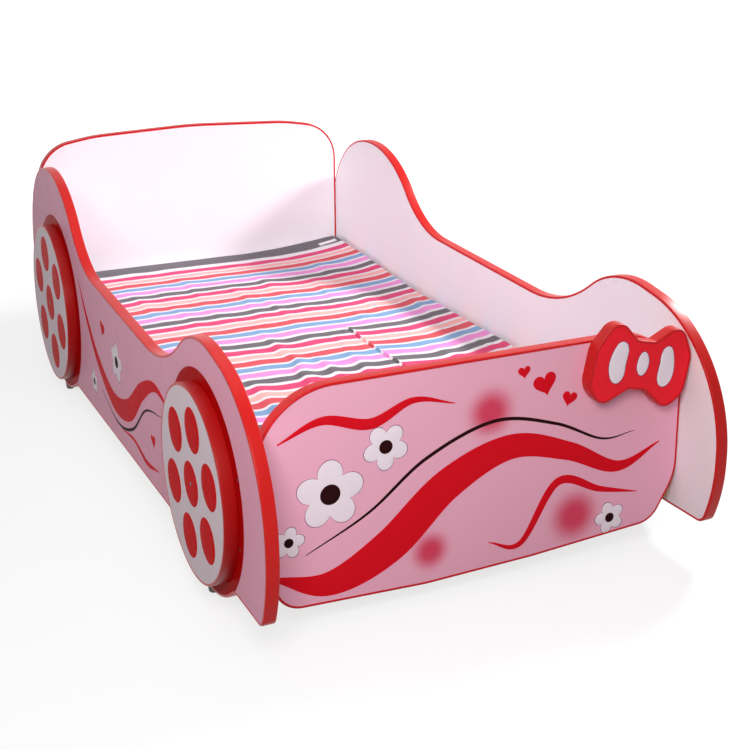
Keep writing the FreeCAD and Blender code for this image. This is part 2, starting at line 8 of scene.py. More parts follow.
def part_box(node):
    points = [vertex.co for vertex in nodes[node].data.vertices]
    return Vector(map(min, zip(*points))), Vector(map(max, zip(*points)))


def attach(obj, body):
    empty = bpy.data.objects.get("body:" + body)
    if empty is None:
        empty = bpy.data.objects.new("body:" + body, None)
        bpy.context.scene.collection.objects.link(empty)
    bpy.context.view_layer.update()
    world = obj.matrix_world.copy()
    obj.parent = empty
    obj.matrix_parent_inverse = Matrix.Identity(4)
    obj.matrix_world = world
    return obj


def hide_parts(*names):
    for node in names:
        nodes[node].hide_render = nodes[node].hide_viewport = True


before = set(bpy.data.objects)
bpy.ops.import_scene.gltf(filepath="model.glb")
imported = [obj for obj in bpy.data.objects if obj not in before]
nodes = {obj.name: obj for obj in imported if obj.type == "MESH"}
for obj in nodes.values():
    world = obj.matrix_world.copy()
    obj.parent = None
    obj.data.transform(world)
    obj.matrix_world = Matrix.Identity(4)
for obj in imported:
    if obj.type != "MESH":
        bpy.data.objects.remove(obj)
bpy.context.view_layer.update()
print("bed frame loaded:", len(nodes), "nodes")


def placed(name, data):
    made = bpy.data.objects.new(name, data)
    bpy.context.scene.collection.objects.link(made)
    return made


cameraSetup = {
    "place": (-1.28525, -3.16309, 1.43125),
    "right": (0.90665, -0.42188, -0.00585),
    "up": (0.12696, 0.25957, 0.95747),
    "back": (-0.40232, -0.86885, 0.28889),
    "lens": 64.12,
    "shift": -0.1,  # the picture's level line is above its middle
}


def aimCamera():
    view = bpy.data.cameras.new("bedCamera")
    view.lens = cameraSetup["lens"]
    view.sensor_width = 36
    view.shift_y = cameraSetup["shift"]
    view.clip_end = 60
    camera = placed("bedCamera", view)
    columns = [cameraSetup[k] for k in ("right", "up", "back", "place")]
    camera.matrix_world = Matrix([[c[i] for c in columns] for i in range(3)] + [[0, 0, 0, 1]])
    bpy.context.scene.camera = camera


aimCamera()

sides = {"left": -1, "right": 1}
ends = ("front", "rear")
# faces of the boards, in metres from the middle of the bed
planes = {
    "sideInner": 0.5065,
    "sideOuter": 0.5335,
    "wheelFace": 0.5635,
    "bowFace": -0.945,
    "frontFace": -0.915,
    "frontMiddle": -0.9015,
    "frontBack": -0.888,
    "headInner": 1.026,
    "headMiddle": 1.0395,
    "headOuter": 1.053,
}


def tone(red, green, blue):
    # a screen colour of 0 to 255 as the linear colour that a shader wants
    part = np.array([red, green, blue]) / 255
    part = np.where(part <= 0.04045, part / 12.92, ((part + 0.055) / 1.055) ** 2.4)
    return (*part.tolist(), 1.0)


def node(tree, kind, links=(), **settings):
    # places a node; plain settings go to its properties, numbered or named inputs through links
    made = tree.nodes.new(kind)
    for key, content in settings.items():
        setattr(made, key, content)
    for socket, content in dict(links).items():
        if isinstance(content, bpy.types.NodeSocket):
            tree.links.new(content, made.inputs[socket])
        else:
            made.inputs[socket].default_value = content
    return made


def wire(tree, sockets, *given):
    for socket, content in zip(sockets, given):
        tree.links.new(content, socket)


def sums(tree, operation, first, second=0.0):
    return node(tree, "ShaderNodeMath", {0: first, 1: second}, operation=operation).outputs[0]


def vectors(tree, operation, first, second=(0, 0, 0)):
    made = node(tree, "ShaderNodeVectorMath", {0: first, 1: second}, operation=operation)
    return made.outputs["Value" if operation == "LENGTH" else "Vector"]


def blended(tree, factor, first, second, kind="MIX"):
    made = node(tree, "ShaderNodeMix", {0: factor, 6: first, 7: second}, data_type="RGBA", blend_type=kind)
    return made.outputs[2]


def objectPlace(tree):
    return node(tree, "ShaderNodeTexCoord").outputs["Object"]


def partOf(tree, place, axis):
    return node(tree, "ShaderNodeSeparateXYZ", {0: place}).outputs[axis]


def noise(tree, place, scale, detail=2.0, roughness=0.5):
    given = {"Vector": place, "Scale": scale, "Detail": detail, "Roughness": roughness}
    return node(tree, "ShaderNodeTexNoise", given).outputs[0]


def between(tree, amount, low, high, start=0.0, end=1.0):
    return node(tree, "ShaderNodeMapRange", {0: amount, 1: start, 2: end, 3: low, 4: high}).outputs[0]


def bumped(tree, height, strength, distance):
    given = {"Strength": strength, "Distance": distance, "Height": height}
    return node(tree, "ShaderNodeBump", given).outputs[0]


def weave(tree, place, **given):
    # threads that run both ways, multiplied
    threads = [
        node(tree, "ShaderNodeTexWave", {"Vector": place, **given}, bands_direction=way).outputs[1]
        for way in ("X", "Y")
    ]
    return sums(tree, "MULTIPLY", *threads)


def newGroup(name, **inputs):
    # a group with the given inputs and their kinds; it gives a colour, a roughness and a normal
    group = bpy.data.node_groups.new(name, "ShaderNodeTree")
    for label, kind in inputs.items():
        group.interface.new_socket(label, in_out="INPUT", socket_type="NodeSocket" + kind)
    for label, kind in (("Color", "Color"), ("Roughness", "Float"), ("Normal", "Vector")):
        group.interface.new_socket(label, in_out="OUTPUT", socket_type="NodeSocket" + kind)
    return group, group.nodes.new("NodeGroupInput").outputs, group.nodes.new("NodeGroupOutput").inputs


def makeLaminateGroup():
    # faint mottling, a fine pebbled skin and a gloss that wanders, as on melamine board
    group, given, made = newGroup("laminateSkin", Color="Color", Gloss="Float", Mottle="Float")
    place = objectPlace(group)
    darker = blended(group, 1.0, given[0], (0.8, 0.74, 0.77, 1), "MULTIPLY")
    cloudy = between(group, noise(group, place, 2.3, 3.0), 0.0, 1.0, 0.35, 0.7)
    colour = blended(group, sums(group, "MULTIPLY", cloudy, given[2]), given[0], darker)
    smear = between(group, noise(group, place, 9.0, 4.0, 0.6), -0.03, 0.04, 0.3, 0.7)
    pebbles = bumped(group, noise(group, place, 380.0, 1.0), 0.05, 0.0005)
    wire(group, made, colour, sums(group, "ADD", given[1], smear), pebbles)
    return group


def makePlasticGroup():
    # moulded plastic: rubbed spots, a gloss that wanders and long soft ripples
    group, given, made = newGroup("mouldedSkin", Color="Color", Worn="Color", Gloss="Float")
    place = objectPlace(group)
    rubbed = between(group, noise(group, place, 34.0, 5.0, 0.65), 0.0, 0.16, 0.5, 0.75)
    smear = between(group, noise(group, place, 14.0, 3.0), -0.03, 0.05, 0.35, 0.7)
    ripples = bumped(group, noise(group, place, 26.0), 0.015, 0.001)
    colour = blended(group, rubbed, given[0], given[1])
    wire(group, made, colour, sums(group, "ADD", given[2], smear), ripples)
    return group


def makeWoodGroup():
    # growth lines drawn out along the board, with pores and a soft change of shade
    group, given, made = newGroup("woodGrain", Light="Color", Dark="Color", Stretch="Vector")
    place = vectors(group, "MULTIPLY", objectPlace(group), given[2])
    rings = noise(group, place, 7.0, 6.0, 0.62)
    pores = noise(group, place, 90.0)
    growth = between(group, rings, 0.0, 0.85, 0.32, 0.7)
    lines = sums(group, "ADD", growth, between(group, pores, -0.12, 0.15, 0.3, 0.7))
    colour = blended(group, lines, given[0], given[1])
    wire(group, made, colour, between(group, rings, 0.5, 0.68), bumped(group, pores, 0.25, 0.0008))
    return group


laminateSkin = makeLaminateGroup()
mouldedSkin = makePlasticGroup()
woodGrain = makeWoodGroup()


def newMaterial(name, **fixed):
    # gives the material, its tree, and the shader's sockets for colour, roughness and normal
    made = bpy.data.materials.new(name)
    made.use_nodes = True
    shader = made.node_tree.nodes["Principled BSDF"]
    for socket, content in fixed.items():
        shader.inputs[socket.replace("_", " ")].default_value = content
    return made, made.node_tree, [shader.inputs[k] for k in ("Base Color", "Roughness", "Normal")]


def dress(fresh, group, **values):
    # puts a shared group in front of a new material's shader
    made, tree, sockets = fresh
    wire(tree, sockets, *node(tree, "ShaderNodeGroup", values, node_tree=group).outputs)
    return made


boardLook = {
    "pink": tone(250, 186, 210),
    "inside": tone(252, 248, 253),
    "blush": tone(226, 44, 84),
    "gloss": 0.28,
    # places across and up, and how far each reaches
    "blushes": (((0.02, 0.405), 0.078), ((0.235, 0.125), 0.086), ((-0.12, 0.118), 0.062)),
}


def boardMaterial(name, axis, way, middle, blushes=()):
    # the outer face is pink and the inner face white; the middle of the board parts them
    fresh = newMaterial(name, Specular_IOR_Level=0.005)
    tree = fresh[1]
    place = objectPlace(tree)
    depth = partOf(tree, place, axis)
    depth = sums(tree, "ABSOLUTE", depth) if way == 0 else sums(tree, "MULTIPLY", depth, float(way))
    outside = sums(tree, "GREATER_THAN", depth, middle)
    colour = blended(tree, outside, boardLook["inside"], boardLook["pink"])
    for (across, height), reach in blushes:  # a soft round spot: distance in the face, eased to nothing
        gap = vectors(tree, "SUBTRACT", place, (across, 0, height))
        far = vectors(tree, "LENGTH", vectors(tree, "MULTIPLY", gap, (1, 0, 1)))
        fade = {0: far, 1: reach * 0.12, 2: reach, 3: 0.9, 4: 0.0}
        soft = node(tree, "ShaderNodeMapRange", fade, interpolation_type="SMOOTHERSTEP").outputs[0]
        colour = blended(tree, sums(tree, "MULTIPLY", soft, outside), colour, boardLook["blush"])
    return dress(fresh, laminateSkin, Color=colour, Gloss=boardLook["gloss"], Mottle=0.1)


def plainLaminate(name, colour, gloss=0.28, mottle=0.1, shine=0.005):
    fresh = newMaterial(name, Specular_IOR_Level=shine)
    return dress(fresh, laminateSkin, Color=colour, Gloss=gloss, Mottle=mottle)


edgingLook = {
    "board": (tone(204, 20, 17), tone(210, 30, 25)),  # plain and rubbed
    # the board edging's red made darker for the wheel trims: painted shade
    "wheel": (tone(166, 13, 11), tone(178, 22, 18)),
    "seam": tone(212, 12, 34),
    "gloss": 0.34,
}


def edgingMaterial(name, plain, rubbed):
    # the lip that lies on the board has a colour of its own, placed by the seam attribute
    fresh = newMaterial(name, Specular_IOR_Level=0.24)
    tree = fresh[1]
    seam = node(tree, "ShaderNodeAttribute", attribute_name="seam").outputs["Fac"]
    shades = [blended(tree, seam, shade, edgingLook["seam"]) for shade in (plain, rubbed)]
    return dress(fresh, mouldedSkin, Color=shades[0], Worn=shades[1], Gloss=edgingLook["gloss"])


def woodMaterial(name, light, dark, stretch):
    return dress(newMaterial(name), woodGrain, Light=light, Dark=dark, Stretch=stretch)


def metalMaterial(name, colour):
    # plated steel: cloudy plating and a fine turned scratch
    made, tree, sockets = newMaterial(name, Metallic=1.0)
    place = objectPlace(tree)
    cloudy = noise(tree, place, 160.0, 4.0, 0.6)
    shade = blended(tree, between(tree, cloudy, 0.0, 0.6, 0.4, 0.7), colour, tone(120, 116, 112))
    scratch = bumped(tree, noise(tree, place, 900.0), 0.2, 0.0002)
    wire(tree, sockets, shade, between(tree, cloudy, 0.25, 0.5, 0.3, 0.7), scratch)
    return made


def footMaterial():
    # black upper rim on a grey glide, parted by height
    fresh = newMaterial("footPlastic")
    tree = fresh[1]
    upper = sums(tree, "GREATER_THAN", partOf(tree, objectPlace(tree), 2), 0.0135)
    colour = blended(tree, upper, tone(122, 116, 114), tone(38, 32, 34))
    return dress(fresh, mouldedSkin, Color=colour, Worn=tone(150, 146, 144), Gloss=0.45)


wovenLooks = {
    "strapWebbing": {
        "sheen": 0.2, "scale": 260.0, "distortion": 0.4, "rough": (0.92, 0.78), "bump": (0.5, 0.0005),
        "colours": (tone(196, 192, 184), tone(232, 229, 222)),
    },
    "labelCotton": {
        "sheen": 0.1, "scale": 240.0, "distortion": 0.5, "rough": (0.85, 0.7), "bump": (0.3, 0.0004),
        "colours": (tone(236, 234, 238), tone(252, 250, 252)),
    },
}


def wovenMaterial(name):
    look = wovenLooks[name]
    made, tree, sockets = newMaterial(name, Sheen_Weight=look["sheen"])
    woven = weave(tree, objectPlace(tree), Scale=look["scale"], Distortion=look["distortion"])
    bump = bumped(tree, woven, *look["bump"])
    wire(tree, sockets, blended(tree, woven, *look["colours"]), between(tree, woven, *look["rough"]), bump)
    return made


clothLook = {
    "white": tone(240, 236, 242),
    "band": tone(98, 94, 100),
    "colours": (
        tone(230, 46, 110), tone(250, 184, 178), tone(226, 68, 80),
        tone(122, 168, 212), tone(246, 146, 220), tone(98, 95, 100),
    ),
    "widths": (35, 28, 35, 29, 33, 35),  # millimetres, each followed by its white gap
    "gaps": (14, 13, 13, 14, 18, 18),
    "hem": 0.024,  # metres from the head end
    "bandEnd": 0.101,
    "start": 0.131,
}


def clothMaterial():
    # stripes by the distance along the cloth, kept in the uv map; the weave crosses it both ways
    sheen = {"Specular_IOR_Level": 0.12, "Sheen_Weight": 0.05, "Sheen_Roughness": 0.45}
    made, tree, sockets = newMaterial("stripedCotton", **sheen)
    uv = node(tree, "ShaderNodeUVMap", uv_map="cloth").outputs[0]
    along = partOf(tree, uv, 1)
    widths, gaps, white = clothLook["widths"], clothLook["gaps"], clothLook["white"]
    period = (sum(widths) + sum(gaps)) / 1000
    cycle = sums(tree, "DIVIDE", sums(tree, "SUBTRACT", along, clothLook["start"]), period)
    ramp = node(tree, "ShaderNodeValToRGB", {0: sums(tree, "FRACT", cycle)})
    ramp.color_ramp.interpolation = "CONSTANT"
    edge, stops = 0.0, []
    for width, gap, colour in zip(widths, gaps, clothLook["colours"]):
        stops += [(edge, colour), (edge + width / 1000 / period, white)]
        edge += (width + gap) / 1000 / period
    for index, (spot, colour) in enumerate(stops):  # a new ramp has two stops already
        stop = ramp.color_ramp.elements[index] if index < 2 else ramp.color_ramp.elements.new(spot)
        stop.position, stop.color = spot, colour
    started = sums(tree, "GREATER_THAN", along, clothLook["start"])
    top = blended(tree, started, white, ramp.outputs[0])
    pastHem = sums(tree, "GREATER_THAN", along, clothLook["hem"])
    inBand = sums(tree, "MULTIPLY", pastHem, sums(tree, "LESS_THAN", along, clothLook["bandEnd"]))
    top = blended(tree, inBand, top, clothLook["band"])
    woven = weave(tree, uv, Scale=190.0, Distortion=0.6, Detail=1.0)
    faded = between(tree, noise(tree, uv, 700.0), 0.0, 0.16, 0.35, 0.75)
    rough = between(tree, woven, 0.9, 0.76)
    wire(tree, sockets, blended(tree, faded, top, white), rough, bumped(tree, woven, 0.22, 0.0005))
    return made


sideLaminate = boardMaterial("sideLaminate", 0, 0, 0.52)
frontLaminate = boardMaterial("frontLaminate", 1, -1, -planes["frontMiddle"], boardLook["blushes"])
headLaminate = boardMaterial("headLaminate", 1, 1, planes["headMiddle"])
wheelLaminate = plainLaminate("wheelLaminate", tone(244, 232, 240))
bowLaminate = plainLaminate("bowLaminate", tone(255, 46, 60), shine=0.004)
printRed = plainLaminate("printRed", tone(230, 24, 40), 0.26, 0.08, 0.003)
# the printed arch in a darker red than the other red print: print with painted shade from the wheel
shadedPrintArch = plainLaminate("shadedPrintArch", tone(186, 8, 12), 0.26, 0.08, 0.003)
printDot = plainLaminate("printDot", tone(228, 8, 18), 0.26, 0.08, 0.003)
printWhite = plainLaminate("printWhite", tone(252, 242, 252), mottle=0.06)
printBrown = plainLaminate("printBrown", tone(48, 20, 22), shine=0.003)
printOutline = plainLaminate("printOutline", tone(142, 66, 108))
redEdging = edgingMaterial("redEdging", *edgingLook["board"])
# the same red edging as the boards, darker: painted shade on the wheel trims
shadedWheelEdging = edgingMaterial("shadedWheelEdging", *edgingLook["wheel"])
pine = tone(222, 190, 146), tone(178, 136, 90)
railPine = woodMaterial("railPine", *pine, (9.0, 0.7, 9.0))
cleatPine = woodMaterial("cleatPine", *pine, (0.7, 9.0, 9.0))
slatPine = woodMaterial("slatPine", tone(230, 202, 160), tone(194, 154, 106), (0.7, 11.0, 11.0))
zincSteel = metalMaterial("zincSteel", tone(206, 200, 196))
darkSteel = metalMaterial("darkSteel", tone(96, 84, 84))
strapWebbing = wovenMaterial("strapWebbing")
labelCotton = wovenMaterial("labelCotton")
footPlastic = footMaterial()
stripedCotton = clothMaterial()
print("materials ready")


def shell(rings, loop=False):
    # a closed skin over rings of points shaped (rows, columns, 3): quads between neighbouring rings,
    # a cap on each end ring unless the rows loop, and all faces turned outwards by the sign of the volume
    rows, columns = rings.shape[:2]
    points = rings.reshape(-1, 3)
    row = np.arange(rows if loop else rows - 1)[:, None]
    column = np.arange(columns)[None, :]
    here, there = row * columns, ((row + 1) % rows) * columns
    beside = (column + 1) % columns
    quads = np.stack([here + column, here + beside, there + beside, there + column], -1).reshape(-1, 4)
    a, b, c, d = ((points - points.mean(0))[quads[:, k]] for k in range(4))
    volume = (a * (np.cross(b, c) + np.cross(c, d))).sum()
    caps = [] if loop else [list(range(columns))[::-1], list(range((rows - 1) * columns, rows * columns))]
    faces = quads.tolist() + caps
    return points, [face[::-1] for face in faces] if volume < 0 else faces


def piece(name, shells, material, stands=(), body="bed", crease=38):
    # joins skins into one mesh that rides on a body, and stands for the given nodes
    points = np.concatenate([part[0] for part in shells])
    faces, base = [], 0
    for part in shells:
        faces += [[corner + base for corner in face] for face in part[1]]
        base += len(part[0])
    mesh = bpy.data.meshes.new(name)
    mesh.from_pydata(points.tolist(), [], faces)
    mesh.shade_smooth()
    mesh.set_sharp_from_angle(angle=math.radians(crease))
    mesh.materials.append(material)
    made = placed(name, mesh)
    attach(made, body)
    if stands:
        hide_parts(*stands)
    return made


def standing(flat, depth, axis):
    # flat points (..., 2) set at a depth: on axis 0 they are (y, z) at x, on axis 1 (x, z) at y
    depth = np.broadcast_to(np.asarray(depth, float), flat.shape[:-1])
    order = (depth, flat[..., 0], flat[..., 1]) if axis == 0 else (flat[..., 0], depth, flat[..., 1])
    return np.stack(order, -1)


def fullTurn(count):
    return np.linspace(0, 2 * math.pi, count, endpoint=False)


def rays(angle):
    return np.stack([np.cos(angle), np.sin(angle)], 1)


def roundedOutline(corners, step=0.007):
    # straight runs joined by arcs: each corner's arc starts radius * tan(half the turn) before it;
    # gives the points and their outward normals, anticlockwise
    table = np.array(corners, float) / 1000
    spot, radius = table[:, :2], table[:, 2]
    leaving = np.roll(spot, -1, 0) - spot
    leaving /= np.linalg.norm(leaving, axis=1)[:, None]
    arriving = np.roll(leaving, 1, 0)
    across = arriving[:, 0] * leaving[:, 1] - arriving[:, 1] * leaving[:, 0]
    turn = np.arctan2(across, (arriving * leaving).sum(1))
    side = np.sign(turn)
    start = spot - arriving * (radius * np.tan(np.abs(turn) / 2))[:, None]
    centre = start + (side * radius)[:, None] * np.stack([-arriving[:, 1], arriving[:, 0]], 1)
    heading = np.arctan2(arriving[:, 1], arriving[:, 0]) - side * math.pi / 2
    points, normals = [], []
    for k in range(len(spot)):
        count = max(5, int(abs(turn[k]) * radius[k] / step) + 2, int(abs(turn[k]) / 0.09))
        ray = rays(heading[k] + np.linspace(0, turn[k], count))
        points.append(centre[k] + radius[k] * ray)
        normals.append(side[k] * ray)
    return np.concatenate(points), np.concatenate(normals)


def circleOutline(centre, radius, count=200):
    ray = rays(fullTurn(count))
    return np.array(centre) + radius * ray, ray


# corners in millimetres, each with the radius of its arc
outlines = {
    "side": (
        (-1018, 92, 30), (-858.6, 89.5, 46), (-687.5, -38.5, 243), (-523.3, 84.4, 46), (545.1, 67.8, 46),
        (695, -15.5, 260), (836.8, 63.3, 46), (1053, 60, 60), (1053, 612, 291.7), (618, 709, 369.7),
        (382, 460, 321.7), (-419, 432, 436), (-638, 595, 273), (-1053, 523, 308), (-1053, 180, 370),
    ),
    "front": (
        (-129.5, 42, 479), (129.5, 48, 479), (445.5, 67, 64), (506.5, 173, 134), (506.5, 528, 172),
        (-506.5, 528, 172), (-506.5, 173, 134), (-445.5, 55, 64),
    ),
    "head": (
        (506.5, 95, 40), (506.5, 680, 125), (324.5, 711, 615), (0, 724, 1500), (-324.5, 711, 615),
        (-506.5, 680, 125), (-506.5, 95, 40),
    ),
    "bow": (
        (385.5, 403.3, 14), (437.2, 348.3, 32), (487.6, 378.5, 52), (506.1, 465.6, 52), (479, 544.9, 32),
        (408.6, 511.8, 14), (363.6, 521.4, 14), (312.7, 580.3, 32), (255.7, 518.8, 52),
        (237.2, 431.7, 52), (270.9, 383.7, 32), (340.5, 412.8, 14),
    ),
}
sidePath = roundedOutline(outlines["side"])

edgingShape = {  # millimetres; a bead is how far the edging stands beyond the board's two faces
    "depth": 5.0,
    "shoulder": 2.4,
    "lip": 1.2,
    "seam": 1.9,
    "bead": (0.4, 0.4),
    "bowBead": (1.1, 0.0),
}


def edgingSkin(path, outward, low, high, axis, bead=edgingShape["bead"]):
    # the section, carried along the outline: a lip laid on the board's face, the shoulder's quarter circle,
    # the flat, and the same down the other side; gives the skin and which of its points are the lip
    deep, shoulder, lip, seam = (edgingShape[k] / 1000 for k in ("depth", "shoulder", "lip", "seam"))
    bend = np.linspace(0, math.pi / 2, 7)
    way = 1.0 if high > low else -1.0
    flanks = []
    for face, inward, lift in ((low, way, bead[0] / 1000), (high, -way, bead[1] / 1000)):
        raised = face - inward * lift * 0.9
        reach = [-deep - lip, -deep - lip * 0.7, -deep + seam, -deep + seam + 0.0003]
        flat = np.stack([[face + inward * 0.0004, raised, raised, raised], reach], 1)
        inset = shoulder * (1 - np.cos(bend)) - lift * np.cos(bend)
        arc = np.stack([face + inward * inset, shoulder * (np.sin(bend) - 1)], 1)
        flanks.append(np.concatenate([flat, arc]))
    section = np.concatenate([flanks[0], flanks[1][::-1]])
    marks = np.concatenate([[1, 1, 1, 0], np.zeros(len(bend))])
    ring = path[:, None, :] + outward[:, None, :] * section[None, :, 1, None]
    marks = np.tile(np.concatenate([marks, marks[::-1]]), len(path))
    return shell(standing(ring, section[:, 0], axis), loop=True), marks


def edgingPiece(name, skin, stood, material=redEdging):
    made = piece(name, [skin[0]], material, [stood], crease=50)
    seam = made.data.attributes.new("seam", "FLOAT", "POINT").data
    seam.foreach_set("value", skin[1].astype(np.float32))


for side, sign in sides.items():
    skin = edgingSkin(*sidePath, sign * planes["sideInner"], sign * planes["sideOuter"], 0)
    edgingPiece(f"{side}SideTrim", skin, f"{side}_side_edging")
skin = edgingSkin(*roundedOutline(outlines["front"]), planes["frontFace"], planes["frontBack"], 1)
edgingPiece("frontTrim", skin, "front_edging")
skin = edgingSkin(*roundedOutline(outlines["head"]), planes["headInner"], planes["headOuter"], 1)
edgingPiece("headTrim", skin, "headboard_edging")
bowPath = roundedOutline(outlines["bow"], 0.003)
skin = edgingSkin(*bowPath, planes["bowFace"], planes["frontFace"], 1, edgingShape["bowBead"])
edgingPiece("bowTrim", skin, "bow_edging")
print("edgings swept")

wheelShape = {
    "front": {"centre": (-0.6875, 0.265), "radius": 0.214, "ring": 0.131, "dot": 0.049, "turn": 41.0},
    "rear": {"centre": (0.695, 0.282), "radius": 0.231, "ring": 0.146, "dot": 0.0525, "turn": 20.5},
    "archMargin": 0.029,
    "archUnder": 0.004,  # the arch's inner edge is hidden by the wheel
    "archSunk": 0.0001,
    "bead": (0.0, 0.4),
}
for end in ends:
    rim = circleOutline(wheelShape[end]["centre"], wheelShape[end]["radius"])
    for side, sign in sides.items():
        skin = edgingSkin(*rim, sign * planes["sideOuter"], sign * planes["wheelFace"], 0, wheelShape["bead"])
        edgingPiece(f"{end}{side.capitalize()}WheelTrim", skin, f"{end}_{side}_wheel_edging", shadedWheelEdging)


# printed shapes are skins of a fifth of a millimetre on the boards; a print's plane is its board's face,
# the way that face looks and the axis across it
printShape = {"sunk": 0.00012, "rise": 0.0002}
printPlanes = {
    "front": (planes["frontFace"], -1, 1),
    "left": (-planes["sideOuter"], -1, 0),
    "right": (planes["sideOuter"], 1, 0),
    "bow": (planes["bowFace"], -1, 1),
}


def printSkin(flat, centre, plane, lift=1.0):
    # rings shrink from the outline to its centre; the rim rises from just under the board's face
    face, way, axis = plane
    shrink = np.array([1.0, 1.0, 0.99, 0.6, 0.25, 0.02])
    height = printShape["rise"] * lift * np.array([0, 0.6, 1, 1, 1, 1])
    height[0] = -printShape["sunk"]
    centre = np.array(centre)
    rings = centre + (np.asarray(flat) - centre)[None] * shrink[:, None, None]
    return shell(standing(rings, (face + way * height)[:, None], axis))


def cubic(a, b, c, d, t):
    # from b to c, with end slopes of half the span of the neighbours
    return 0.5 * (2 * b + (c - a) * t + (2 * a - 5 * b + 4 * c - d) * t**2 + (3 * b - a - 3 * c + d) * t**3)


def smoothPath(points, count=90):
    # a curve of cubic pieces through the points
    knots = np.array(points, float)
    knots = np.concatenate([2 * knots[:1] - knots[1:2], knots, 2 * knots[-1:] - knots[-2:-1]])
    place = np.linspace(0, len(points) - 1 - 1e-9, count)
    k = place.astype(int)
    return cubic(*(knots[k + i] for i in range(4)), (place % 1)[:, None])


def closedCurve(points, count=110):
    # the same curve, run round a closed loop of points
    knots = np.array(points, float)
    place = np.linspace(0, len(knots), count, endpoint=False)
    k = place.astype(int)
    return cubic(*(knots[(k + i) % len(knots)] for i in (-1, 0, 1, 2)), (place % 1)[:, None])


def ribbonSkin(points, widths, plane, lift=1.0):
    # a flat band along the curve; its half width follows the same kind of curve through the widths
    face, way, axis = plane
    line = smoothPath(points)
    half = smoothPath(np.stack([widths, widths], 1))[:, :1] / 2
    ahead = np.gradient(line, axis=0)
    ahead /= np.linalg.norm(ahead, axis=1)[:, None]
    across = np.stack([-ahead[:, 1], ahead[:, 0]], 1)
    share = np.array([-1, -1, -0.96, 0, 0.96, 1, 1])
    height = printShape["rise"] * lift * np.array([0, 0.6, 1, 1, 1, 0.6, 0])
    height[[0, -1]] = -printShape["sunk"]
    flat = line[:, None, :] + across[:, None, :] * half[:, :, None] * share[None, :, None]
    return shell(standing(flat, face + way * height, axis))


def petals(centre, size, turn, count=5, columns=150):
    # radius = size * (0.6 + 0.4 * |cos(count/2 * angle)| to the power 0.8)
    angle = fullTurn(columns)
    radius = size * (0.6 + 0.4 * np.abs(np.cos(count / 2 * (angle - turn))) ** 0.8)
    return np.array(centre) + radius[:, None] * rays(angle)


def heart(centre, size, turn):
    # x = 16 sin^3, y = 13 cos - 5 cos 2a - 2 cos 3a - cos 4a, scaled and turned
    a = fullTurn(96)
    up = 13 * np.cos(a) - 5 * np.cos(2 * a) - 2 * np.cos(3 * a) - np.cos(4 * a)
    flat = np.stack([16 * np.sin(a) ** 3, up], 1) / 17 * size
    c, s = math.cos(turn), math.sin(turn)
    return np.array(centre) + flat @ np.array([[c, s], [-s, c]])


def reachToRim(centre, ray, rim):
    # shortest way along each ray to the rim's straight pieces, from the two-line crossing formula
    ray = ray[:, None, :]
    edge, start = (np.roll(rim, -1, 0) - rim)[None], (rim - np.array(centre))[None]
    below = ray[..., 0] * edge[..., 1] - ray[..., 1] * edge[..., 0]
    below = np.where(np.abs(below) < 1e-12, 1e-12, below)
    far = (start[..., 0] * edge[..., 1] - start[..., 1] * edge[..., 0]) / below
    share = (start[..., 0] * ray[..., 1] - start[..., 1] * ray[..., 0]) / below
    return np.where((far > 0) & (share >= 0) & (share <= 1), far, 9.0).min(1)


def archSkin(wheel, plane):
    # a ring round the wheel, cut where the board's rim comes nearer than its outer edge
    face, way, axis = plane
    ray = rays(fullTurn(360))
    rim = sidePath[0] - sidePath[1] * edgingShape["depth"] / 1000
    outer = np.minimum(wheel["radius"] + wheelShape["archMargin"], reachToRim(wheel["centre"], ray, rim))
    inner = np.full(len(outer), wheel["radius"] - wheelShape["archUnder"])
    lengths = np.stack([inner, inner, outer - 0.0006, outer, outer], 0)
    height = printShape["rise"] * np.array([0, 1, 1, 0.6, 0])
    height[[0, -1]] = -wheelShape["archSunk"]
    flat = np.array(wheel["centre"]) + lengths[..., None] * ray[None]
    return shell(standing(flat, (face + way * height)[:, None], axis), loop=True)


for side, sign in sides.items():
    arches = [archSkin(wheelShape[end], printPlanes[side]) for end in ends]
    piece(f"{side}WheelArches", arches, shadedPrintArch)
    for end in ends:
        wheel = wheelShape[end]
        turns = np.radians(wheel["turn"] + 60.0 * np.arange(6))
        spots = np.array(wheel["centre"]) + np.concatenate([[[0, 0]], wheel["ring"] * rays(turns)])
        plane = (sign * planes["wheelFace"], sign, 0)
        dots = [printSkin(circleOutline(spot, wheel["dot"], 72)[0], spot, plane) for spot in spots]
        piece(f"{end}{side.capitalize()}WheelDots", dots, printDot)

# ribbons and vines: places across and up in metres, then widths; flowers and hearts: place, size, turn
frontArt = {
    "ribbons": (
        (((-0.47, 0.132), (-0.35, 0.096), (-0.215, 0.15), (-0.08, 0.262),
          (0.07, 0.318), (0.215, 0.282), (0.345, 0.222), (0.455, 0.262)),
         (0.008, 0.056, 0.084, 0.078, 0.058, 0.042, 0.026, 0.003)),
        (((-0.455, 0.418), (-0.36, 0.452), (-0.255, 0.428), (-0.16, 0.462), (-0.065, 0.44)),
         (0.003, 0.018, 0.024, 0.014, 0.002)),
        (((0.02, 0.106), (0.1, 0.088), (0.19, 0.214), (0.3, 0.176), (0.4, 0.15)),
         (0.002, 0.014, 0.02, 0.014, 0.002)),
    ),
    "vines": (
        (((-0.4, 0.17), (-0.26, 0.236), (-0.13, 0.33), (0.03, 0.384),
          (0.18, 0.352), (0.3, 0.296), (0.385, 0.3)),
         (0.002, 0.006, 0.008, 0.008, 0.007, 0.005, 0.001)),
    ),
    "flowers": (
        ((-0.345, 0.292), 0.074, 0.3), ((-0.222, 0.372), 0.05, 0.9),
        ((-0.436, 0.205), 0.034, 0.1), ((0.33, 0.1), 0.038, 0.6),
    ),
    "hearts": (((0.15, 0.448), 0.03, 0.25), ((0.212, 0.405), 0.02, -0.3), ((0.098, 0.482), 0.016, 0.1)),
}
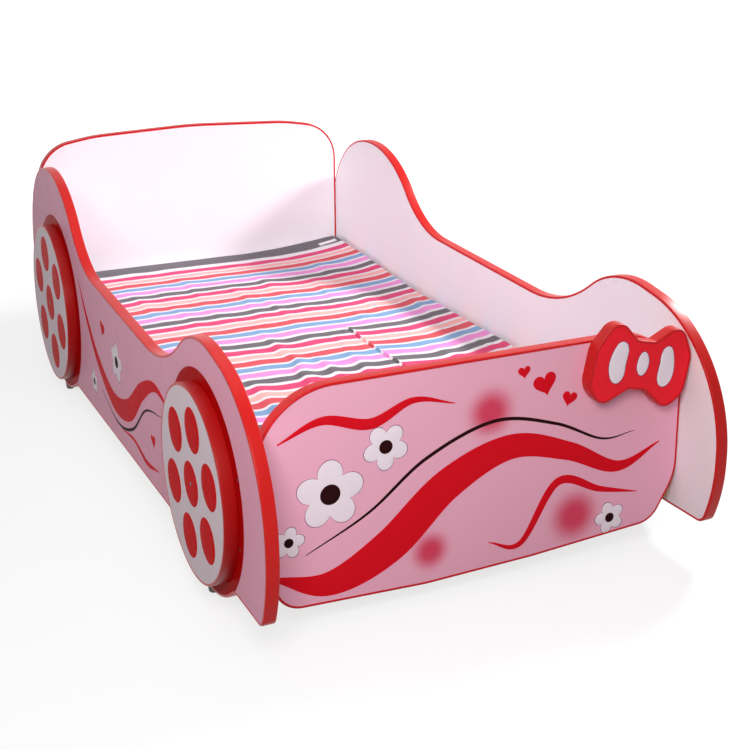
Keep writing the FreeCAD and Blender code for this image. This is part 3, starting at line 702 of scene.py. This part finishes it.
sideArt = {
    "ribbons": (
        (((-0.452, 0.33), (-0.33, 0.352), (-0.205, 0.3), (-0.07, 0.205),
          (0.08, 0.178), (0.23, 0.236), (0.345, 0.33), (0.42, 0.42)),
         (0.004, 0.022, 0.044, 0.058, 0.05, 0.036, 0.02, 0.003)),
        (((-0.33, 0.14), (-0.22, 0.122), (-0.11, 0.138), (0.01, 0.126)), (0.002, 0.014, 0.01, 0.002)),
    ),
    "vines": (
        (((-0.38, 0.296), (-0.235, 0.262), (-0.1, 0.165), (0.05, 0.128), (0.215, 0.165)),
         (0.001, 0.006, 0.008, 0.006, 0.001)),
    ),
    "flowers": (((0.03, 0.3), 0.052, 0.5), ((0.3, 0.16), 0.034, 0.2)),
    "hearts": (((0.165, 0.352), 0.024, 0.2), ((-0.29, 0.205), 0.02, -0.2)),
}


def printArt(prefix, art):
    plane = printPlanes[prefix]
    red = [ribbonSkin(*ribbon, plane) for ribbon in art["ribbons"]]
    red += [printSkin(heart(*spec), spec[0], plane) for spec in art["hearts"]]
    vines = [ribbonSkin(*vine, plane, 1.2) for vine in art["vines"]]
    rims, leaves, middles = [], [], []
    for centre, size, turn in art["flowers"]:  # three layers, each a little higher
        rims.append(printSkin(petals(centre, size + 0.0016, turn), centre, plane, 0.6))
        leaves.append(printSkin(petals(centre, size, turn), centre, plane, 1.1))
        middles.append(printSkin(circleOutline(centre, size * 0.3, 60)[0], centre, plane, 1.5))
    for label, skins, material in (
        ("RedPrint", red, printRed), ("Vines", vines, printBrown), ("FlowerRims", rims, printOutline),
        ("Petals", leaves, printWhite), ("FlowerHearts", middles, printBrown),
    ):
        piece(prefix + label, skins, material)


printArt("front", frontArt)
printArt("left", sideArt)
printArt("right", sideArt)

# the white spots of the bow, in millimetres across and up
bowInlays = {
    "left": (
        (324, 524), (334, 517), (338, 503), (335, 487), (331, 470), (328, 450), (320, 437),
        (308, 432), (296, 440), (290, 456), (289, 475), (294, 494), (303, 511), (313, 522),
    ),
    "middle": (
        (380, 493), (388, 486), (392, 471), (389, 455), (382, 444),
        (373, 440), (365, 446), (361, 460), (364, 477), (371, 489),
    ),
    "right": (
        (442, 496), (452, 490), (457, 474), (459, 455), (458, 436), (453, 420), (444, 409),
        (432, 405), (421, 411), (416, 425), (418, 443), (422, 459), (424, 476), (430, 490),
    ),
}
rims, fills = [], []
for spots in bowInlays.values():
    loop = closedCurve(np.array(spots) / 1000)
    middle = loop.mean(0)
    out = loop - middle
    rim = middle + out * (1 + 0.0018 / np.linalg.norm(out, axis=1))[:, None]
    rims.append(printSkin(rim, middle, printPlanes["bow"], 0.6))
    fills.append(printSkin(loop, middle, printPlanes["bow"], 1.1))
piece("bowInlayRims", rims, printOutline)
piece("bowInlays", fills, printWhite)
print("prints laid")


def turnedSkin(base, axis, profile, columns=28, shape=None):
    # rings of the profile's (radius, height) about an axis; a function of the angle may bend some rings
    axis = np.array(axis, float)
    other = np.array([0, 0, 1.0]) if abs(axis[2]) < 0.9 else np.array([1.0, 0, 0])
    first = np.cross(other, axis)
    first /= np.linalg.norm(first)
    second = np.cross(axis, first)
    angle = fullTurn(columns)
    profile = np.array(profile, float) / 1000
    radius = np.repeat(profile[:, :1], columns, 1)
    if shape is not None:
        rows, bent = shape(angle)
        radius[rows] = bent[None] / 1000 * np.array([1.0, 0.97])[:, None]
    ray = np.cos(angle)[:, None] * first + np.sin(angle)[:, None] * second
    return shell(np.array(base) + radius[..., None] * ray[None] + profile[:, 1][:, None, None] * axis)


def hexSocket(width, rows):
    # distance to a hexagon's side: half the width over the cosine of the angle folded to one side
    return lambda angle: (rows, width / 2 / np.cos((angle % (math.pi / 3)) - math.pi / 6))


def crossSocket(reach, rows):
    return lambda angle: (rows, reach * (0.3 + 0.7 * np.abs(np.cos(2 * angle)) ** 5))


# radius and height in millimetres, from the hidden end to the socket's floor
profiles = {
    "connector": (
        (0.3, -65), (3.2, -64), (3.5, -62), (3.5, -4.2), (5.0, -4.0), (5.0, 0.1),
        (4.6, 0.45), (3.6, 0.5), (2.3, 0.45), (2.2, -2.2), (0.3, -2.4),
    ),
    "wood": (
        (0.2, -6), (2.0, -4), (2.2, -2.6), (4.4, -0.4), (4.4, 0.1),
        (4.0, 0.55), (3.2, 0.8), (2.0, 0.8), (1.6, -0.6), (0.2, -0.9),
    ),
    "sole": (
        (0.2, -1.5), (2.6, -1.2), (3.9, -0.2), (4.0, 0.4), (3.4, 1.1), (2.2, 1.3), (1.5, 0.2), (0.2, 0.0),
    ),
    "glide": (
        (0.3, 21.9), (12.8, 21.9), (13.0, 21.4), (13.0, 14.4), (12.6, 13.8), (12.3, 13.2), (12.3, 7.5),
        (11.6, 3.2), (10.4, 1.0), (8.8, 0.1), (6.2, 0.0), (5.6, 0.4), (5.4, 3.4), (0.3, 3.5),
    ),
}
screwPlaces = {
    "front": (planes["frontMiddle"], (0.355, 0.207)),  # along the bed, and two heights
    "rear": (planes["headMiddle"], (0.4, 0.165)),
    "wheelAway": (-0.12, 0.12),
    "wheelDown": 0.07,
    "bow": ((0.313, 0.467), (0.433, 0.443)),
    "railEnd": 0.06,
    "cleatEnd": 0.08,
    "down": 0.004,  # under the middle of a rail or cleat
}


def connectorScrew(place, axis):
    return turnedSkin(place, axis, profiles["connector"], 30, hexSocket(5.0, slice(8, 10)))


def woodScrew(place, axis):
    return turnedSkin(place, axis, profiles["wood"], 32, crossSocket(2.6, slice(7, 9)))


for end in ends:
    y, heights = screwPlaces[end]
    screws = [connectorScrew((s * planes["sideOuter"], y, z), (s, 0, 0)) for s in (-1, 1) for z in heights]
    piece(f"{end}Connectors", screws, darkSteel, [f"{end}_connector_screws"])
hubs, backs = [], []
for sign in sides.values():
    for end in ends:
        y, z = wheelShape[end]["centre"]
        hubs.append(woodScrew((sign * (planes["wheelFace"] + 0.0002), y, z), (sign, 0, 0)))
        for away in screwPlaces["wheelAway"]:
            place = (sign * planes["sideInner"], y + away, z - screwPlaces["wheelDown"])
            backs.append(woodScrew(place, (-sign, 0, 0)))
piece("hubScrews", hubs, darkSteel)
piece("wheelFixings", backs, zincSteel)

fixings = []
for side, sign in sides.items():
    low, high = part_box(f"{side}_rail")
    inner = high.x if sign < 0 else low.x
    height = (low.z + high.z) / 2 - screwPlaces["down"]
    for y in np.linspace(low.y + screwPlaces["railEnd"], high.y - screwPlaces["railEnd"], 5):
        fixings.append(woodScrew((inner, y, height), (-sign, 0, 0)))
for end, way in (("front", 1), ("rear", -1)):
    low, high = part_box(f"{end}_cleat")
    inner = high.y if way > 0 else low.y
    height = (low.z + high.z) / 2 - screwPlaces["down"]
    for x in np.linspace(low.x + screwPlaces["cleatEnd"], high.x - screwPlaces["cleatEnd"], 3):
        fixings.append(woodScrew((x, inner, height), (0, way, 0)))
piece("railFixings", fixings, zincSteel)
bowScrews = [woodScrew((x, planes["frontBack"], z), (0, 1, 0)) for x, z in screwPlaces["bow"]]
piece("bowFixings", bowScrews, zincSteel)

soles = []
for end in ends:
    for side in sides:
        low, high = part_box(f"{end}_{side}_foot")
        x, y = (low.x + high.x) / 2, (low.y + high.y) / 2
        glide = turnedSkin((x, y, low.z), (0, 0, 1), profiles["glide"], 40)
        name = f"{end}{side.capitalize()}Glide"
        piece(name, [glide], footPlastic, [f"{end}_{side}_foot"])
        socket = crossSocket(2.4, slice(5, 7))
        soles.append(turnedSkin((x, y, low.z + 0.0032), (0, 0, -1), profiles["sole"], 28, socket))
piece("footScrews", soles, zincSteel)
print("screws and feet turned")

coverShape = {
    "half": 0.4985,
    "front": -0.8795,
    "back": 1.0175,
    "low": 0.1652,
    "edge": 0.27,
    "crown": 0.0085,
    "corner": 0.045,
    "roll": 0.018,
    "underRoll": 0.012,
    "tuck": 0.005,
    "pinch": 0.0014,  # the walls stand this far inside the rim's own roll
    "creaseAt": 0.138,
    "rise": 0.029,
}
# ridges: start x, y of the foot end, y of the far end, lean, width, height in millimetres
coverRidges = (
    (-0.44, -0.86, -0.25, 0.1, 0.014, 7.4), (-0.395, -0.6, 0.1, 0.08, 0.018, 6.4),
    (-0.345, -0.88, -0.05, 0.04, 0.017, 10.5), (-0.29, -0.7, 0.25, 0.06, 0.022, 5.5),
    (-0.245, -0.88, -0.3, -0.06, 0.014, 9.6), (-0.18, -0.86, 0.05, 0.1, 0.02, 10.5),
    (-0.115, -0.5, 0.32, 0.04, 0.018, 5.6), (-0.07, -0.88, -0.05, 0.05, 0.015, 8.8),
    (0.0, -0.86, 0.12, 0.08, 0.02, 7.4), (0.06, -0.88, -0.35, 0.05, 0.014, 6.2),
    (0.225, -0.88, -0.2, -0.1, 0.02, 6.0), (0.33, -0.86, 0.02, -0.05, 0.024, 4.6),
    (-0.4, 0.05, 0.62, -0.05, 0.022, 3.8), (-0.33, 0.3, 0.92, 0.05, 0.016, 3.0),
    (-0.25, 0.12, 0.8, 0.05, 0.024, 4.2), (-0.15, 0.3, 0.9, 0.02, 0.018, 3.4),
    (-0.05, 0.15, 0.74, 0.06, 0.022, 4.6), (0.03, 0.1, 0.6, -0.04, 0.016, 3.8),
    (0.11, 0.24, 0.82, -0.04, 0.022, 3.8), (0.215, 0.1, 0.7, 0.03, 0.018, 3.4),
    (0.3, 0.1, 0.86, 0.03, 0.024, 2.8), (0.41, -0.4, 0.5, 0.02, 0.018, 3.0),
)


def eased(amount):
    amount = np.clip(amount, 0, 1)
    return amount * amount * (3 - 2 * amount)


def headRise(x, y):
    # the cover bunches up towards the head's right corner, and a little along the whole head end
    corner = np.clip((x - 0.15) / 0.33, 0, 1) ** 1.6 * eased((y - 0.3) / 0.62)
    return coverShape["rise"] * corner + 0.006 * eased((y - 0.84) / 0.14)


def creaseLine(y):
    return coverShape["creaseAt"] + 0.003 * np.sin(y * 17) - 0.012 * (y + 0.1)


def creaseSpan(y):
    return eased((y + 0.62) / 0.25) * eased((0.125 - y) / 0.05)


def ridgeHeight(x, y):
    # bell curves across x along a leaning, swaying line, steeper on their left, faded in and out along y
    height = np.zeros_like(x)
    for index, (start, low, high, lean, width, tall) in enumerate(coverRidges):
        line = start + lean * (y - low)
        line = line + 0.009 * np.sin(y * 11.0 + index * 1.7) + 0.004 * np.sin(y * 34.0 + index)
        fade = eased((y - low) / 0.12) * eased((high - y) / 0.18)
        swell = 0.66 + 0.34 * np.sin(y * 17.0 + index * 2.3)
        aside = (x - line) / np.where(x < line, width * 0.75, width * 1.35)
        height += tall / 1000 * fade * swell * np.exp(-(aside**2))
    return height + 0.0008 * np.sin(x * 41 + 3 * np.sin(y * 7)) * np.sin(y * 23 + x * 5)


def coverHeight(x, y):
    # crown: a fourth-power dome both ways; crease: a sharp fold that is steep on its left side
    s = coverShape
    middle, long = (s["back"] + s["front"]) / 2, (s["back"] - s["front"]) / 2
    dome = (1 - (x / s["half"]) ** 4) * (1 - ((y - middle) / long) ** 4)
    fold = x - creaseLine(y)
    lip = 0.0042 * np.exp(-np.maximum(fold, 0) / 0.018) * np.exp(-np.abs(np.minimum(fold, 0)) / 0.002)
    groove = 0.0026 * np.exp(-(((fold + 0.006) / 0.0036) ** 2))
    rough = ridgeHeight(x, y) + creaseSpan(y) * (lip - groove)
    inside = eased((s["half"] - np.abs(x)) / 0.05) * eased((y - s["front"]) / 0.03)
    inside = inside * eased((s["back"] - y) / 0.05)
    return s["edge"] + s["crown"] * dome + headRise(x, y) + rough * inside


def clothSlide(x, y):
    # how far the stripes are pulled along the bed: a sweep to the head at the right edge, less what the rise
    # there already shows, slow waves that grow to the foot, and a step at the crease
    headFade = eased((1.0 - y) / 0.12)
    sweep = 0.062 * (np.clip(x - 0.15, 0, 1) / 0.31) ** 2.6 * (1 + 0.45 * eased((y - 0.45) / 0.4))
    sweep = (sweep - (headRise(x, y) - headRise(0 * x, y)) / 0.3) * headFade
    waves = 0.0046 * np.sin(x * 17 + y * 3.1) + 0.0042 * np.sin(x * 31 - y * 5 + 1.2)
    waves = (waves + 0.003 * np.sin(x * 57 + y * 11)) * (0.35 + 0.65 * eased((0.4 - y) / 1.1)) * headFade
    fold = x - creaseLine(y)
    step = 0.013 * (fold > 0) * np.exp(-np.maximum(fold, 0) / 0.1) * creaseSpan(y)
    return sweep + waves + step


def roundedPlan(p, q, half, low, high, corner):
    # pulls the grid's corner squares onto a quarter disc: x = a sqrt(1 - b^2/2), y = b sqrt(1 - a^2/2)
    middle, long = (low + high) / 2, (high - low) / 2
    a = np.clip((np.abs(p) - (half - corner)) / corner, 0, 1)
    b = np.clip((np.abs(q - middle) - (long - corner)) / corner, 0, 1)
    both = (a > 0) & (b > 0)
    x = np.sign(p) * (half - corner + corner * a * np.sqrt(1 - b * b / 2))
    y = middle + np.sign(q - middle) * (long - corner + corner * b * np.sqrt(1 - a * a / 2))
    return np.where(both, x, p), np.where(both, y, q)


def coverWall(edge, out):
    # below the rim: a quarter circle out and down, a straight drop drawn in by the tuck, and a quarter
    # circle back in; gives the rings and how far down the cloth each of their points lies
    s, count = coverShape, len(edge)
    roll, under, start = s["roll"], s["underRoll"], edge[:, 2]
    wall = []
    for a in np.linspace(0, math.pi / 2, 8)[1:]:
        wall.append((roll * math.sin(a), start - roll * (1 - math.cos(a))))
    for share in np.linspace(0, 1, 9)[1:]:
        height = (start - roll) * (1 - share) + (s["low"] + under) * share
        wall.append((roll - s["tuck"] * math.sin(share * math.pi), height))
    for a in np.linspace(0, math.pi / 2, 6)[1:]:
        height = np.full(count, s["low"] + under * (1 - math.sin(a)))
        wall.append((roll - under * (1 - math.cos(a)), height))
    ripple = 0.0012 * np.sin(np.arange(count) * 0.21) + 0.0008 * np.sin(np.arange(count) * 0.083)
    rings, drops, last, drop = [], [], edge, np.zeros(count)
    for reach, height in wall:
        shift = reach - s["pinch"] + ripple * (reach > 0.01)
        part = np.column_stack([edge[:, :2] + out * shift[:, None], height])
        drop = drop + np.linalg.norm(part - last, axis=1)
        rings.append(part)
        drops.append(drop)
        last = part
    return rings, drops


def makeCover():
    # a top grid, wall rings that roll over its rim and down, and a bottom face, one closed skin
    s = coverShape
    half, roll = s["half"], s["roll"]
    front, back = s["front"] + roll, s["back"] - roll
    creased = s["creaseAt"] + np.linspace(-0.016, 0.016, 21)  # closer columns along the crease
    across = np.unique(np.concatenate([np.linspace(roll - half, half - roll, 200), creased]).round(5))
    p, q = np.meshgrid(across, np.linspace(front, back, 300), indexing="ij")
    x, y = roundedPlan(p, q, half - roll, front, back, s["corner"] - roll)
    top = np.stack([x, y, coverHeight(x, y)], -1).reshape(-1, 3)
    index = np.arange(p.size).reshape(p.shape)
    rim = np.concatenate([index[:-1, 0], index[-1, :-1], index[:0:-1, -1], index[0, :0:-1]])
    edge = top[rim]
    ahead = np.roll(edge, -1, 0) - np.roll(edge, 1, 0)
    out = np.stack([ahead[:, 1], -ahead[:, 0]], 1)
    out /= np.linalg.norm(out, axis=1)[:, None]
    rings, drops = coverWall(edge, out)
    points = np.concatenate([top] + rings)
    quads = np.stack([index[:-1, :-1], index[1:, :-1], index[1:, 1:], index[:-1, 1:]], -1).reshape(-1, 4)
    loops = [rim] + [len(top) + k * len(rim) + np.arange(len(rim)) for k in range(len(rings))]
    faces = quads.tolist()
    for a, b in zip(loops[:-1], loops[1:]):
        faces += np.stack([a, np.roll(a, -1), np.roll(b, -1), b], -1)[:, ::-1].tolist()
    faces.append(loops[-1].tolist()[::-1])
    skins = [(points, faces)]
    made = piece("mattressCover", skins, stripedCotton, ["mattress"], "mattress", 180)
    # cloth distances: u across, v along from the head end, both going on down the walls
    flat = np.concatenate([top[:, :2]] + [edge[:, :2]] * len(rings))
    outward = np.concatenate([np.zeros((len(top), 2))] + [out] * len(rings))
    flat = flat + outward * np.concatenate([np.zeros(len(top))] + drops)[:, None]
    v = s["back"] - flat[:, 1] + clothSlide(points[:, 0], points[:, 1])
    layer = made.data.uv_layers.new(name="cloth")
    corners = np.empty(len(made.data.loops), np.int32)
    made.data.loops.foreach_get("vertex_index", corners)
    layer.data.foreach_set("uv", np.stack([flat[:, 0], v], 1)[corners].astype(np.float32).ravel())


makeCover()

labelShape = {"middle": (0.435, 0.936), "long": 0.068, "deep": 0.022, "slope": 0.016}
labelRings = (  # share of its depth, and height over the cover in metres
    (-0.5, -0.0006), (-0.5, 0.0009), (-0.25, 0.00126), (0.25, 0.00126), (0.5, 0.0009), (0.5, -0.0006),
)


def makeLabel():
    # a small bare patch that follows the cover's height, a closed band of six-point rings
    s = labelShape
    t = np.linspace(-0.5, 0.5, 24)
    x = s["middle"][0] + t * s["long"]
    rings = []
    for share, lift in labelRings:
        y = s["middle"][1] + s["slope"] * t + share * s["deep"]
        rings.append(np.stack([x, y, coverHeight(x, y) + lift], -1))
    piece("coverLabel", [shell(np.stack(rings, 1))], labelCotton, body="mattress")


makeLabel()
print("mattress covered")

# materials by the ending of a node's name; all other nodes are slats
finishes = {
    "side_board": sideLaminate, "front_board": frontLaminate, "headboard": headLaminate,
    "bow_board": bowLaminate, "wheel": wheelLaminate, "edging": redEdging, "rail": railPine,
    "cleat": cleatPine, "slat_strap": strapWebbing, "foot": footPlastic, "screws": zincSteel,
    "mattress": stripedCotton,
}
for name, part in nodes.items():
    chosen = next((finishes[ending] for ending in finishes if name.endswith(ending)), slatPine)
    if not part.material_slots:
        part.data.materials.append(chosen)
    for place in part.material_slots:
        place.material = chosen
print("finishes set")

stageSetup = {
    "floorSize": 60.0,
    "ambient": 0.22,
    "floorGlow": (0.56, 1.0),  # share of plain white under the bed and far away
    "floorReach": (1.6, 3.4),
    "floorLit": tone(168, 166, 167),
    "floorSeen": tone(207, 213, 214),
    "glow": 1.36,
}
# place, aim, size, power, spread in degrees and tint; a narrow spread is a softbox with a grid
lamps = {
    "key": ((2.2, 0.0, 2.2), (0.0, 0.1, 0.3), 0.5, 69.5, 180, (1.0, 0.99, 1.0)),
    "fill": ((-1.15, -2.5, 1.85), (-0.15, -0.9, 0.3), 1.0, 36.5, 180, (1.0, 0.955, 0.945)),
    "side": ((-3.0, -0.3, 1.2), (0.0, 0.0, 0.3), 1.6, 1.2, 180, (1.0, 0.92, 0.94)),
    "inner": ((-2.15, -2.65, 2.5), (0.3, 0.7, 0.42), 0.8, 2.55, 40, (1.0, 0.98, 0.99)),
    "top": ((-0.5, 0.1, 2.4), (-0.05, 0.1, 0.2), 1.6, 8.0, 180, (1.0, 1.0, 1.0)),
}


def seenPlainly(tree):
    # 1 for what the camera, a reflection or clear material sees, 0 for what lights the bed
    path = node(tree, "ShaderNodeLightPath").outputs
    seen = sums(tree, "MAXIMUM", path["Is Camera Ray"], path["Is Glossy Ray"])
    return sums(tree, "MAXIMUM", seen, path["Is Transmission Ray"])


def makeFloor():
    size = stageSetup["floorSize"] / 2
    mesh = bpy.data.meshes.new("studioFloor")
    corners = [(x * size, y * size, 0) for x, y in ((-1, -1), (1, -1), (1, 1), (-1, 1))]
    mesh.from_pydata(corners, [], [(0, 1, 2, 3)])
    made, tree, sockets = newMaterial("paleFloor", Roughness=0.9, Specular_IOR_Level=0.1)
    seen = seenPlainly(tree)
    wire(tree, sockets, blended(tree, seen, stageSetup["floorLit"], stageSetup["floorSeen"]))
    far = vectors(tree, "LENGTH", objectPlace(tree))
    share = between(tree, far, *stageSetup["floorGlow"], *stageSetup["floorReach"])
    share = sums(tree, "MULTIPLY", seen, share)
    white = {"Color": (1, 1, 1, 1), "Strength": stageSetup["glow"]}
    glow = node(tree, "ShaderNodeEmission", white).outputs[0]
    plain = tree.nodes["Principled BSDF"].outputs[0]
    mixed = node(tree, "ShaderNodeMixShader", {0: share, 1: plain, 2: glow}).outputs[0]
    tree.links.new(mixed, tree.nodes["Material Output"].inputs[0])
    mesh.materials.append(made)
    placed("studioFloor", mesh)


def makeLights():
    for name, (place, aim, size, power, spread, tint) in lamps.items():
        data = bpy.data.lights.new(f"{name}Softbox", "AREA")
        data.shape, data.size, data.energy, data.color = "SQUARE", size, power, tint
        data.spread = math.radians(spread)
        lamp = placed(f"{name}Softbox", data)
        lamp.location = place
        lamp.rotation_euler = (Vector(aim) - Vector(place)).to_track_quat("-Z", "Y").to_euler()


def makeWorld():
    world = bpy.data.worlds.new("paleStudio")
    bpy.context.scene.world = world
    world.use_nodes = True
    tree = world.node_tree
    tree.nodes.clear()
    ambient = {"Color": (1.0, 0.92, 0.9, 1), "Strength": stageSetup["ambient"]}
    soft = node(tree, "ShaderNodeBackground", ambient).outputs[0]
    white = node(tree, "ShaderNodeBackground", {"Color": (1, 1, 1, 1), "Strength": 1.0}).outputs[0]
    mixed = node(tree, "ShaderNodeMixShader", {0: seenPlainly(tree), 1: soft, 2: white})
    wire(tree, node(tree, "ShaderNodeOutputWorld").inputs, mixed.outputs[0])


makeFloor()
makeLights()
makeWorld()
bpy.context.scene.view_settings.view_transform = "Standard"
print("studio lit")
